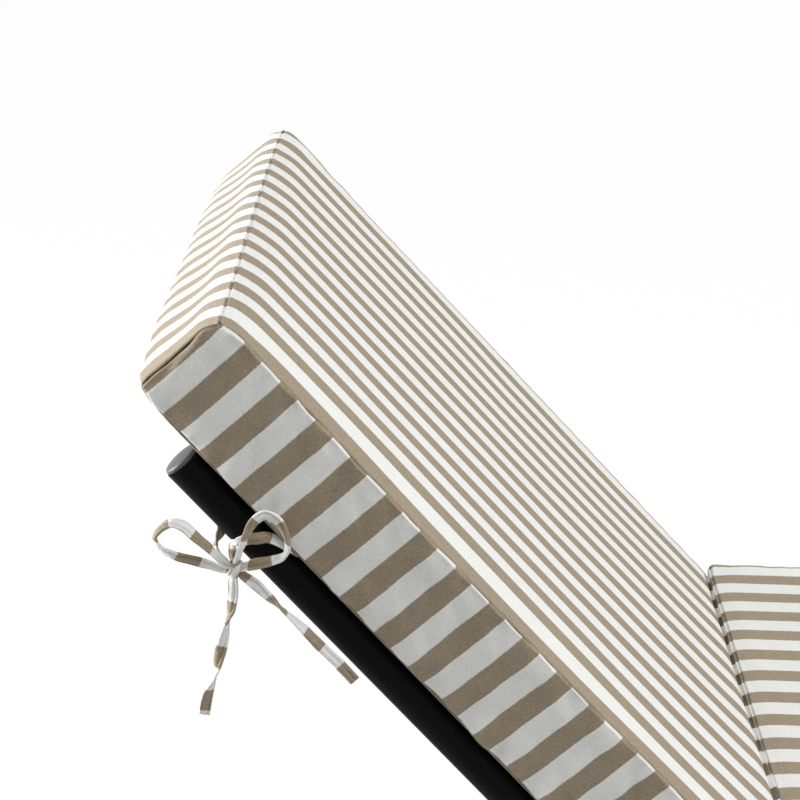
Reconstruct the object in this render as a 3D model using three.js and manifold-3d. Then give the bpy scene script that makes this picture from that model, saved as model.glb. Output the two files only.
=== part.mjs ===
// Sun lounger cushion tied on a round-tube lounger frame, with its back section raised.
// Millimetres, +Z up. The head end is towards -X, the foot end towards +X, the floor is z = 0.
// The near side is -Y. Everything is placed from the fold line, where the tops of the
// two cushion sections meet, and the whole is then centred over its footprint.
import * as THREE from 'three';
import { mergeVertices } from 'three/addons/utils/BufferGeometryUtils.js';
import Module from 'manifold-3d';

const wasm = await Module();
wasm.setup();

// Driving dimensions of the cushion
const CUSHION_WIDTH = 610;
const BACK_LENGTH = 704;
const BACK_BELOW_FOLD = 16;
const SEAT_LENGTH = 1195;
const SEAT_THICKNESS = 90;
const BACK_THICKNESS_HEAD = 87;
const BACK_THICKNESS_FOLD = 102;
const BACK_ANGLE = THREE.MathUtils.degToRad(46.4);
const SEAT_TOP_HEIGHT = 400;
const SEAT_START = 12;
const TOP_CROWN = 7;
const SIDE_PULL_IN = 4;
const SIDE_BULGE = 3;
const OUTER_END_ROUNDING = { along: 28, down: 26 };
const BACK_FOLD_ROUNDING = { along: 14, down: 9 };
const SEAT_FOLD_ROUNDING = { along: 28, down: 10 };
const LONG_EDGE_ROUNDING = { across: 20, down: 11 };

// Driving dimensions of the hinge strip, a band of the cover cloth in the fold
const STRIP_THICKNESS = 2;
const STRIP_SINK = 1;
const STRIP_CLEARANCE = 0.5;
const STRIP_UP = -14.2;
const STRIP_OUT = -4.6;
const STRIP_SEAT_DEPTH = 11;
const STRIP_WIDTH = CUSHION_WIDTH - 14;

// Driving dimensions of the frame
const TUBE_RADIUS = 16;
const CROSS_RADIUS = 11;
const LEG_RADIUS = 13;
const BRACE_RADIUS = 9;
const SIDE_TUBE_Y = CUSHION_WIDTH / 2 - TUBE_RADIUS;
const BACK_TUBE_SHORT_OF_HEAD = 71;
const RAIL_SHORT_OF_FOOT = 25;
const HINGE_RADIUS = 26;
const HINGE_WIDTH = 36;
const END_CAP_THICKNESS = 4;
const FOOT_RADIUS = 20;
const FOOT_HEIGHT = 24;
const GAP = 0.3;
const REST_GAP = 0.6;
const TUBE_SIDES = 40;

// Driving dimensions of the ties, narrow folded bands of the cover cloth
const TIE_WIDTH = 8;
const TIE_THICKNESS = 3.6;
const TIE_SIDES = 8;
const TIE_WRAP_RADIUS = TUBE_RADIUS + TIE_WIDTH / 2 + 0.6;
const KNOT_RADIUS = 8.5;

const clothTop = new THREE.MeshStandardMaterial({ color: 0xd9d2c4, roughness: 0.92 });
const clothTie = new THREE.MeshStandardMaterial({ color: 0xcfc4b0, roughness: 0.9 });
const blackPaint = new THREE.MeshStandardMaterial({ color: 0x0d0e10, roughness: 0.42, metalness: 0.1 });
const greyPlastic = new THREE.MeshStandardMaterial({ color: 0xb9bcbf, roughness: 0.5 });
const blackRubber = new THREE.MeshStandardMaterial({ color: 0x17171a, roughness: 0.8 });

// Directions in the raised back: up its slope, and out of its upper face
const upBack = new THREE.Vector3(-Math.cos(BACK_ANGLE), 0, Math.sin(BACK_ANGLE));
const outOfBack = new THREE.Vector3(Math.sin(BACK_ANGLE), 0, Math.cos(BACK_ANGLE));

// A point of the raised back from its distance up the slope, across, and out of the top face
function onBack(up, y, out) {
  const p = upBack.clone().multiplyScalar(up);
  p.addScaledVector(outOfBack, out);
  p.y = y;
  return p;
}

const BACK_TOP_UP = BACK_LENGTH - BACK_BELOW_FOLD;

function backThickness(up) {
  const share = up / BACK_TOP_UP;
  return THREE.MathUtils.lerp(BACK_THICKNESS_FOLD, BACK_THICKNESS_HEAD, share);
}

const lounger = new THREE.Group();

function addPiece(name, geometry, material, parent = lounger) {
  const mesh = new THREE.Mesh(geometry, material);
  mesh.name = name;
  parent.add(mesh);
  return mesh;
}

// Boolean cuts between closed meshes, all in the frame of the fold line

function solidOf(geometry) {
  const bare = geometry.clone();
  bare.deleteAttribute('normal');
  bare.deleteAttribute('uv');
  const merged = mergeVertices(bare, 1e-4);
  return new wasm.Manifold(new wasm.Mesh({
    numProp: 3,
    vertProperties: new Float32Array(merged.attributes.position.array),
    triVerts: new Uint32Array(merged.index.array),
  }));
}

function geometryOf(solid) {
  const mesh = solid.getMesh();
  const geometry = new THREE.BufferGeometry();
  geometry.setAttribute('position', new THREE.BufferAttribute(mesh.vertProperties, 3));
  geometry.setIndex(new THREE.BufferAttribute(mesh.triVerts, 1));
  geometry.computeVertexNormals();
  return geometry;
}

function cut(geometry, cutters) {
  let solid = solidOf(geometry);
  for (const cutter of cutters) {
    solid = solid.subtract(solidOf(cutter));
  }
  return geometryOf(solid);
}

// A straight round bar from one point to another, as a closed cylinder
function bar(start, end, radius, sides = TUBE_SIDES) {
  const along = end.clone().sub(start);
  const geometry = new THREE.CylinderGeometry(radius, radius, along.length(), sides);
  const turn = new THREE.Quaternion().setFromUnitVectors(new THREE.Vector3(0, 1, 0), along.normalize());
  geometry.applyQuaternion(turn);
  const middle = start.clone().add(end).multiplyScalar(0.5);
  geometry.translate(middle.x, middle.y, middle.z);
  return geometry;
}

// Cushion sections

// Grid lines from -half to half, with extra lines over the rounding at each end
function gridLines(half, roundLow, roundHigh, flatSteps, roundSteps = 3) {
  const lines = [];
  for (let i = 0; i < roundSteps; i++) {
    lines.push(-half + (roundLow * i) / roundSteps);
  }
  for (let i = 0; i <= flatSteps; i++) {
    lines.push(THREE.MathUtils.lerp(-half + roundLow, half - roundHigh, i / flatSteps));
  }
  for (let i = 1; i <= roundSteps; i++) {
    lines.push(half - roundHigh + (roundHigh * i) / roundSteps);
  }
  return lines;
}

// A boxed cushion section, x from 0 to length, its top face at z = 0 and its underside flat.
// The edges are rounded, the top is crowned, the long sides draw in between the corners
// and belly out at half thickness. thicknessAt gives the thickness at each x.
function boxedCushion({ length, thicknessAt, startRounding, endRounding, stations }) {
  const halfLength = length / 2;
  const halfWidth = CUSHION_WIDTH / 2 - SIDE_BULGE;
  const halfDepth = SEAT_THICKNESS / 2;
  const { across, down } = LONG_EDGE_ROUNDING;
  const xLines = gridLines(halfLength, startRounding.along, endRounding.along, stations);
  const yLines = gridLines(halfWidth, across, across, 12);
  const zLines = gridLines(halfDepth, down, down, 4);
  const counts = [xLines.length - 1, yLines.length - 1, zLines.length - 1];
  const geometry = new THREE.BoxGeometry(counts[0], counts[1], counts[2], ...counts);
  const position = geometry.attributes.position;
  const p = new THREE.Vector3();
  for (let i = 0; i < position.count; i++) {
    p.fromBufferAttribute(position, i);
    const x = xLines[Math.round(p.x + counts[0] / 2)];
    const y = yLines[Math.round(p.y + counts[1] / 2)];
    const z = zLines[Math.round(p.z + counts[2] / 2)];
    const end = x < 0 ? startRounding : endRounding;
    const nearEnd = THREE.MathUtils.smoothstep(Math.abs(x), halfLength - 4 * end.along, halfLength - end.along);
    const round = new THREE.Vector3(end.along, across, THREE.MathUtils.lerp(down, end.down, nearEnd));
    const inner = new THREE.Vector3(
      Math.sign(x) * Math.min(Math.abs(x), halfLength - round.x),
      Math.sign(y) * Math.min(Math.abs(y), halfWidth - round.y),
      Math.sign(z) * Math.min(Math.abs(z), halfDepth - round.z),
    );
    const out = new THREE.Vector3(x, y, z).sub(inner).divide(round);
    if (out.length() > 0) {
      const most = Math.max(Math.abs(out.x), Math.abs(out.y), Math.abs(out.z));
      out.setLength(most);
    }
    const q = inner.add(out.multiply(round));
    const alongShare = 1 - (q.x / halfLength) ** 2;
    const acrossShare = 1 - (q.y / (halfWidth + SIDE_BULGE)) ** 2;
    const depthShare = 1 - (q.z / halfDepth) ** 2;
    const sideShare = THREE.MathUtils.smoothstep(Math.abs(q.y), halfWidth * 0.5, halfWidth);
    q.y += Math.sign(q.y) * sideShare * (SIDE_BULGE * depthShare - SIDE_PULL_IN * alongShare);
    const thickness = thicknessAt(q.x + halfLength);
    const height = (q.z / halfDepth - 1) * thickness * 0.5;
    const crown = TOP_CROWN * Math.min(1, 3 * alongShare) * Math.sqrt(Math.max(0, acrossShare));
    const topShare = Math.max(0, q.z / halfDepth);
    position.setXYZ(i, q.x + halfLength, q.y, height + crown * topShare - TOP_CROWN * 0.5 * topShare);
  }
  geometry.computeVertexNormals();
  return geometry;
}

// The back section lies in a group that is turned up about the fold line
const backGroup = new THREE.Group();
backGroup.rotation.y = BACK_ANGLE;
lounger.add(backGroup);

const backCushion = addPiece('cushion_back', boxedCushion({
  length: BACK_LENGTH,
  thicknessAt: (x) => backThickness(BACK_TOP_UP - x),
  startRounding: OUTER_END_ROUNDING,
  endRounding: BACK_FOLD_ROUNDING,
  stations: 14,
}), clothTop, backGroup);
backCushion.position.x = -BACK_TOP_UP;

const seatCushion = addPiece('cushion_seat', boxedCushion({
  length: SEAT_LENGTH,
  thicknessAt: () => SEAT_THICKNESS,
  startRounding: SEAT_FOLD_ROUNDING,
  endRounding: OUTER_END_ROUNDING,
  stations: 20,
}), clothTop);
seatCushion.position.x = SEAT_START;

// The hinge strip closes the fold between the two rounded edges, a thin band with a slight trough
function hingeStrip() {
  const backEdge = onBack(STRIP_UP, 0, STRIP_OUT);
  const backX = backEdge.x + STRIP_CLEARANCE;
  const seatX = SEAT_START - STRIP_CLEARANCE;
  const troughX = (backX + seatX) / 2;
  const troughZ = (backEdge.z - STRIP_SEAT_DEPTH) / 2 - STRIP_SINK;
  const outline = new THREE.Shape();
  outline.moveTo(backX, backEdge.z);
  outline.quadraticCurveTo(troughX, troughZ, seatX, -STRIP_SEAT_DEPTH);
  outline.lineTo(seatX, -STRIP_SEAT_DEPTH - STRIP_THICKNESS);
  outline.quadraticCurveTo(troughX, troughZ - STRIP_THICKNESS, backX, backEdge.z - STRIP_THICKNESS);
  outline.closePath();
  const geometry = new THREE.ExtrudeGeometry(outline, { depth: STRIP_WIDTH, bevelEnabled: false, curveSegments: 6 });
  geometry.rotateX(Math.PI / 2);
  geometry.translate(0, STRIP_WIDTH / 2, 0);
  return geometry;
}
addPiece('hinge_strip', hingeStrip(), clothTop);

// Frame: every tube is straight and is its own piece
const railZ = -SEAT_THICKNESS - REST_GAP - TUBE_RADIUS;

// The axis of a back side tube, touching the cushion's underside all along
function backAxis(up, y = 0, radius = TUBE_RADIUS) {
  return onBack(up, y, -backThickness(up) - REST_GAP - radius);
}

// The hinge is where the axes of the back tubes and of the seat rails cross
function hingePoint() {
  const a = backAxis(0);
  const b = backAxis(BACK_TOP_UP);
  const share = (railZ - a.z) / (b.z - a.z);
  return a.lerp(b, share);
}
const hinge = hingePoint();
const tubeTopUp = BACK_TOP_UP - BACK_TUBE_SHORT_OF_HEAD;
const railEndX = SEAT_START + SEAT_LENGTH - RAIL_SHORT_OF_FOOT;
const floorZ = -SEAT_TOP_HEIGHT;

const sides = { near: -1, far: 1 };
const sideBars = {};

for (const [side, sign] of Object.entries(sides)) {
  const y = sign * SIDE_TUBE_Y;
  const hingeAt = new THREE.Vector3(hinge.x, y, hinge.z);
  const across = new THREE.Vector3(0, HINGE_WIDTH / 2, 0);
  const hingeDisc = bar(hingeAt.clone().sub(across), hingeAt.clone().add(across), HINGE_RADIUS, 48);
  const clearDisc = bar(hingeAt.clone().sub(across), hingeAt.clone().add(across), HINGE_RADIUS + GAP, 48);
  const backEnd = backAxis(tubeTopUp, y);
  const railEnd = new THREE.Vector3(railEndX, y, railZ);
  addPiece('hinge_joint_' + side, hingeDisc, blackRubber);
  addPiece('back_tube_' + side, cut(bar(hingeAt, backEnd, TUBE_RADIUS), [clearDisc]), blackPaint);
  addPiece('seat_rail_' + side, cut(bar(hingeAt, railEnd, TUBE_RADIUS), [clearDisc]), blackPaint);
  sideBars[side] = {
    back: bar(hingeAt, backEnd, TUBE_RADIUS + GAP),
    rail: bar(hingeAt, railEnd, TUBE_RADIUS + GAP),
  };
  const backOut = backEnd.clone().sub(hingeAt).normalize();
  addPiece('back_end_cap_' + side, endCap(backEnd, backOut), greyPlastic);
  addPiece('rail_end_cap_' + side, endCap(railEnd, new THREE.Vector3(1, 0, 0)), greyPlastic);
}

// A plug that closes a tube's end: a flat disc with a rounded rim
function endCap(at, direction) {
  const radius = TUBE_RADIUS - 0.8;
  const rim = END_CAP_THICKNESS * 0.5;
  const profile = [
    new THREE.Vector2(0, 0),
    new THREE.Vector2(radius, 0),
    new THREE.Vector2(radius, END_CAP_THICKNESS - rim),
    new THREE.Vector2(radius - rim * 0.3, END_CAP_THICKNESS - rim * 0.3),
    new THREE.Vector2(radius - rim, END_CAP_THICKNESS),
    new THREE.Vector2(0, END_CAP_THICKNESS),
  ];
  const geometry = new THREE.LatheGeometry(profile, TUBE_SIDES);
  geometry.translate(0, GAP, 0);
  geometry.applyQuaternion(new THREE.Quaternion().setFromUnitVectors(new THREE.Vector3(0, 1, 0), direction));
  geometry.translate(at.x, at.y, at.z);
  return geometry;
}

// Cross tubes carry the cushion; their tops are level with the side tubes' tops
const BACK_CROSS_UP = [90, 345, 597];
BACK_CROSS_UP.forEach((up, i) => {
  const reach = SIDE_TUBE_Y;
  const tube = bar(backAxis(up, -reach, CROSS_RADIUS), backAxis(up, reach, CROSS_RADIUS), CROSS_RADIUS, 24);
  addPiece('back_cross_' + (i + 1), cut(tube, [sideBars.near.back, sideBars.far.back]), blackPaint);
});

const SEAT_CROSS_COUNT = 5;
for (let i = 0; i < SEAT_CROSS_COUNT; i++) {
  const x = THREE.MathUtils.lerp(90, railEndX - 60, i / (SEAT_CROSS_COUNT - 1));
  const z = railZ + TUBE_RADIUS - CROSS_RADIUS;
  const start = new THREE.Vector3(x, -SIDE_TUBE_Y, z);
  const end = new THREE.Vector3(x, SIDE_TUBE_Y, z);
  const tube = bar(start, end, CROSS_RADIUS, 24);
  addPiece('seat_cross_' + (i + 1), cut(tube, [sideBars.near.rail, sideBars.far.rail]), blackPaint);
}

// Legs stand under the rails and lean outwards, each in a round foot with a flat sole
const LEGS = {
  head: { topX: 5, footX: -150 },
  foot: { topX: 1030, footX: 1090 },
};
const BRACE_HEIGHT = 110;
const footTopZ = floorZ + FOOT_HEIGHT;
const footTopCut = bar(
  new THREE.Vector3(0, 0, floorZ - 100),
  new THREE.Vector3(0, 0, footTopZ + GAP),
  2000,
  8,
);

for (const [end, { topX, footX }] of Object.entries(LEGS)) {
  const legAxes = {};
  for (const [side, sign] of Object.entries(sides)) {
    const y = sign * SIDE_TUBE_Y;
    const top = new THREE.Vector3(topX, y, railZ);
    const foot = new THREE.Vector3(footX, y, footTopZ);
    const below = foot.clone().add(foot.clone().sub(top).normalize().multiplyScalar(20));
    const leg = cut(bar(top, below, LEG_RADIUS, 32), [sideBars[side].rail, footTopCut]);
    addPiece('leg_' + end + '_' + side, leg, blackPaint);
    legAxes[side] = { top, foot, clear: bar(top, foot, LEG_RADIUS + GAP, 32) };
    const sole = new THREE.Vector3(footX, y, floorZ);
    addPiece('foot_' + end + '_' + side, bar(sole, new THREE.Vector3(footX, y, footTopZ), FOOT_RADIUS, 32), blackRubber);
  }
  const share = (railZ - (floorZ + BRACE_HEIGHT)) / (railZ - footTopZ);
  const braceAt = legAxes.near.top.clone().lerp(legAxes.near.foot, share);
  const braceEnd = braceAt.clone();
  braceEnd.y = -braceAt.y;
  const brace = cut(bar(braceAt, braceEnd, BRACE_RADIUS, 24), [legAxes.near.clear, legAxes.far.clear]);
  addPiece('brace_' + end, brace, blackPaint);
}

// Ties. Routes are written from the middle of the knot, x along, y away from the near
// viewer and z up; the far side mirrors them.
const KNOT_UP = 532;
const KNOT_BELOW_AXIS = 24.5;
const KNOT_OUTSIDE_AXIS = 18;
const knotNear = backAxis(KNOT_UP, -SIDE_TUBE_Y - KNOT_OUTSIDE_AXIS);
knotNear.addScaledVector(outOfBack, -KNOT_BELOW_AXIS);

const LEFT_LOOP = [
  [-6.8, -4.2, 6.5], [-17.1, -6, 18.2], [-28.4, -7, 29], [-37.5, -8, 38.1], [-45.8, -9, 40.7], [-53.4, -9, 36.3],
  [-58.6, -9, 28.7], [-55.7, -9, 20.9], [-44.8, -8, 13.6], [-32.2, -6, 9], [-19.7, -4, 4.8], [-9.8, -3, 0.7],
];
const RIGHT_LOOP = [
  [1.9, -5.8, 8.3], [6.3, -12.5, 24.9], [13.5, -13, 40.8], [19.6, -13, 49.5], [27.2, -12, 53.4], [36.8, -11, 48.9],
  [43.9, -10, 39.1], [45.5, -10, 29.2], [39.9, -10, 21.1], [28.5, -10, 15.3], [16.1, -8, 8.8], [8.4, -4.4, 4],
];
const LEFT_TAIL = [
  [-0.9, -1, -10], [-0.8, -1.5, -20.2], [-2.3, -2, -33.5], [-5.8, -2, -46.9], [-9, -2, -63.4],
  [-12.4, -2, -77.9], [-15.6, -2, -94.3], [-20.9, -2, -110], [-24, -2, -127.5],
];
const RIGHT_TAIL = [
  [8.3, -3, -5.1], [17.5, -4, -12.1], [27.6, -4, -22.1], [39, -4, -33.9], [53.7, -4, -48.3],
  [66.4, -4, -63], [77.8, -4, -74.8], [90.6, -4, -90.5],
];
// Along the tube from the knot's place, angle round it from the near side, and where it joins the knot
const FRONT_WRAP = {
  turns: [
    { along: 2, angle: 38 }, { along: 4, angle: 22 }, { along: 9, angle: 6 },
    { along: 13, angle: -12 }, { along: 13, angle: -30 },
  ],
  join: [[-0.7, 6.5, 17], [-1.1, 6.9, 7.9]],
};
const BACK_WRAP = {
  turns: [
    { along: 44, angle: 152 }, { along: 43, angle: 172 }, { along: 40, angle: 192 }, { along: 36, angle: 214 },
    { along: 30, angle: 236 }, { along: 24, angle: 256 },
  ],
  join: [[-16.1, 14.5, 9.3], [-7.4, 7.3, 0.7]],
};

function tieSection() {
  const points = [];
  for (let i = 0; i < TIE_SIDES; i++) {
    const angle = (2 * Math.PI * (i + 0.5)) / TIE_SIDES;
    points.push(new THREE.Vector2((TIE_WIDTH / 2) * Math.cos(angle), (TIE_THICKNESS / 2) * Math.sin(angle)));
  }
  return new THREE.Shape(points);
}

function tieStretch(points, steps) {
  const extrudePath = new THREE.CatmullRomCurve3(points, false, 'centripetal');
  return new THREE.ExtrudeGeometry(tieSection(), { steps, extrudePath, bevelEnabled: false });
}

for (const [side, sign] of Object.entries(sides)) {
  const mirror = new THREE.Vector3(1, -sign, 1);
  const fromKnot = ([x, y, z]) => new THREE.Vector3(x, y, z).add(knotNear).multiply(mirror);
  const roundTube = ({ along, angle }) => {
    const turn = THREE.MathUtils.degToRad(angle);
    const p = backAxis(KNOT_UP + along, -SIDE_TUBE_Y - TIE_WRAP_RADIUS * Math.cos(turn));
    return p.addScaledVector(outOfBack, TIE_WRAP_RADIUS * Math.sin(turn)).multiply(mirror);
  };
  const wrap = ({ turns, join }) => [...turns.map(roundTube), ...join.map(fromKnot)];
  addPiece('tie_' + side + '_front_wrap', tieStretch(wrap(FRONT_WRAP), 6), clothTie);
  addPiece('tie_' + side + '_back_wrap', tieStretch(wrap(BACK_WRAP), 7), clothTie);
  addPiece('tie_' + side + '_left_loop', tieStretch(LEFT_LOOP.map(fromKnot), 10), clothTie);
  addPiece('tie_' + side + '_right_loop', tieStretch(RIGHT_LOOP.map(fromKnot), 10), clothTie);
  addPiece('tie_' + side + '_left_tail', tieStretch(LEFT_TAIL.map(fromKnot), 5), clothTie);
  addPiece('tie_' + side + '_right_tail', tieStretch(RIGHT_TAIL.map(fromKnot), 5), clothTie);
  const knot = new THREE.SphereGeometry(KNOT_RADIUS, 14, 10);
  knot.scale(1, 0.94, 0.97);
  const at = fromKnot([0, 0, 0]);
  knot.translate(at.x, at.y, at.z);
  addPiece('tie_' + side + '_knot', knot, clothTie);
}

// Centre the whole over its footprint and stand it on the floor
lounger.updateMatrixWorld(true);
const size = new THREE.Box3();
lounger.traverse((piece) => {
  if (piece.isMesh && !piece.name.startsWith('tie_')) {
    size.expandByObject(piece, true);
  }
});
lounger.position.set(-(size.min.x + size.max.x) / 2, -(size.min.y + size.max.y) / 2, -size.min.z);

export default lounger;
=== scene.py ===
import math

import bpy
from mathutils import Matrix, Vector, noise


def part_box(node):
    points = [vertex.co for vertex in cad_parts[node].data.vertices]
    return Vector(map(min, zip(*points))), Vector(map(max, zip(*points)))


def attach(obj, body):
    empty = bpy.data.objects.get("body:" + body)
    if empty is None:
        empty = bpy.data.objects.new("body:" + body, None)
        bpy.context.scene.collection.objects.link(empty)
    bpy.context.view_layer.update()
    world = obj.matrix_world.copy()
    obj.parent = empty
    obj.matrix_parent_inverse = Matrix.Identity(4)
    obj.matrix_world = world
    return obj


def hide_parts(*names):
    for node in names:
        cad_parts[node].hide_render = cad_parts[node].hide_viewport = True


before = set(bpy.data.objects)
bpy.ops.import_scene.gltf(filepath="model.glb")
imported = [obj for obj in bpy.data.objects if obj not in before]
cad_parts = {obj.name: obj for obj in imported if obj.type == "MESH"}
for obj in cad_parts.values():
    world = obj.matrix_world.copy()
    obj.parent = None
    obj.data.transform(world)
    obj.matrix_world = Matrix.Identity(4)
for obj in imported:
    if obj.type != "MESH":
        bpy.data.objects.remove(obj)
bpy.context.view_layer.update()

# The fold origin is where the tops of the two cushion sections meet
SEAT_START = 0.012
SEAT_THICKNESS = 0.090
seat_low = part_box("cushion_seat")[0]
FOLD = Vector((seat_low.x - SEAT_START, 0.0, seat_low.z + SEAT_THICKNESS))

# Sizes in metres, the same as in the model
BACK_LENGTH = 0.704
BACK_BELOW_FOLD = 0.016
BACK_TOP_UP = BACK_LENGTH - BACK_BELOW_FOLD
SEAT_LENGTH = 1.195
BACK_ANGLE = math.radians(46.4)
BACK_THICKNESS_HEAD = 0.087
BACK_THICKNESS_FOLD = 0.102
TUBE_RADIUS = 0.016
SIDE_TUBE_Y = 0.289
REST_GAP = 0.0006

UP_BACK = Vector((-math.cos(BACK_ANGLE), 0.0, math.sin(BACK_ANGLE)))
OUT_OF_BACK = Vector((math.sin(BACK_ANGLE), 0.0, math.cos(BACK_ANGLE)))


def back_thickness(up):
    share = up / BACK_TOP_UP
    return BACK_THICKNESS_FOLD + share * (BACK_THICKNESS_HEAD - BACK_THICKNESS_FOLD)


def on_back(up, y, out):
    """A point of the raised back from its distance up the slope, across, and out of the top face."""
    point = FOLD + UP_BACK * up + OUT_OF_BACK * out
    point.y = y
    return point


def tube_axis(up, y):
    return on_back(up, y, -back_thickness(up) - REST_GAP - TUBE_RADIUS)


# Camera

LENS = 81.84
SENSOR = 36.0
CAMERA_FROM_FOLD = Vector((-0.334337, -1.544324, 0.925467))
CAMERA_RIGHT = Vector((0.99948389, 0.01564135, 0.02805867))
CAMERA_DOWN = Vector((0.0318433, -0.36722268, -0.92958782))
CAMERA_FORWARD = Vector((-0.00423623, 0.93000153, -0.36753122))

camera_data = bpy.data.cameras.new("camera")
camera_data.lens = LENS
camera_data.sensor_width = SENSOR
camera_data.clip_end = 50
camera = bpy.data.objects.new("camera", camera_data)
bpy.context.scene.collection.objects.link(camera)
turn = Matrix((CAMERA_RIGHT, -CAMERA_DOWN, -CAMERA_FORWARD)).transposed()
camera.matrix_world = Matrix.Translation(FOLD + CAMERA_FROM_FOLD) @ turn.to_4x4()
bpy.context.scene.camera = camera


# Node helpers

def new_material(name):
    material = bpy.data.materials.new(name)
    material.use_nodes = True
    material.node_tree.nodes.clear()
    return material, material.node_tree


def add_node(tree, kind, **settings):
    node = tree.nodes.new(kind)
    for key, value in settings.items():
        if key == "inputs":
            for socket, given in value.items():
                node.inputs[socket].default_value = given
        else:
            setattr(node, key, value)
    return node


def math_node(tree, operation, first, second=None, clamp=False):
    node = add_node(tree, "ShaderNodeMath", operation=operation, use_clamp=clamp)
    for slot, given in enumerate((first, second)):
        if given is None:
            continue
        if isinstance(given, (int, float)):
            node.inputs[slot].default_value = given
        else:
            tree.links.new(given, node.inputs[slot])
    return node.outputs[0]


def ramp_node(tree, value, low, high, to_low=0.0, to_high=1.0):
    node = add_node(tree, "ShaderNodeMapRange", interpolation_type="SMOOTHSTEP")
    for socket, given in (("From Min", low), ("From Max", high), ("To Min", to_low), ("To Max", to_high)):
        node.inputs[socket].default_value = given
    tree.links.new(value, node.inputs["Value"])
    return node.outputs["Result"]


def mix_colors(tree, share, first, second, blend="MIX"):
    node = add_node(tree, "ShaderNodeMix", data_type="RGBA", blend_type=blend)
    factor, a, b = node.inputs["Factor"], node.inputs[6], node.inputs[7]
    for socket, given in ((factor, share), (a, first), (b, second)):
        if isinstance(given, (int, float, tuple)):
            socket.default_value = given
        else:
            tree.links.new(given, socket)
    return node.outputs[2]


def noise_node(tree, vector, scale, detail=2.0, roughness=0.5):
    settings = {"Scale": scale, "Detail": detail, "Roughness": roughness}
    node = add_node(tree, "ShaderNodeTexNoise", inputs=settings)
    tree.links.new(vector, node.inputs["Vector"])
    return node.outputs["Fac"]


def swing(tree, value, amount):
    """A value between 0 and 1 turned into one that swings round zero by this amount."""
    return math_node(tree, "MULTIPLY", math_node(tree, "SUBTRACT", value, 0.5), amount)


# Materials

WHITE_YARN = (0.775, 0.775, 0.745, 1)
TAUPE_YARN = (0.305, 0.248, 0.170, 1)
YARN_PITCH = 0.0011
STRIPE_PITCH = 0.040
TAUPE_SHARE = 0.487
STRIPE_EDGE = 0.007
SEAM_SHADE = (0.07, 0.052, 0.036, 1)
# Hinge strip cloth: the cover's two colours darkened, as painted shade of the fold
FOLD_SHADE_WHITE = (0.76, 0.76, 0.72, 1)
FOLD_SHADE_TAUPE = (0.15, 0.122, 0.08, 1)


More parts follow.
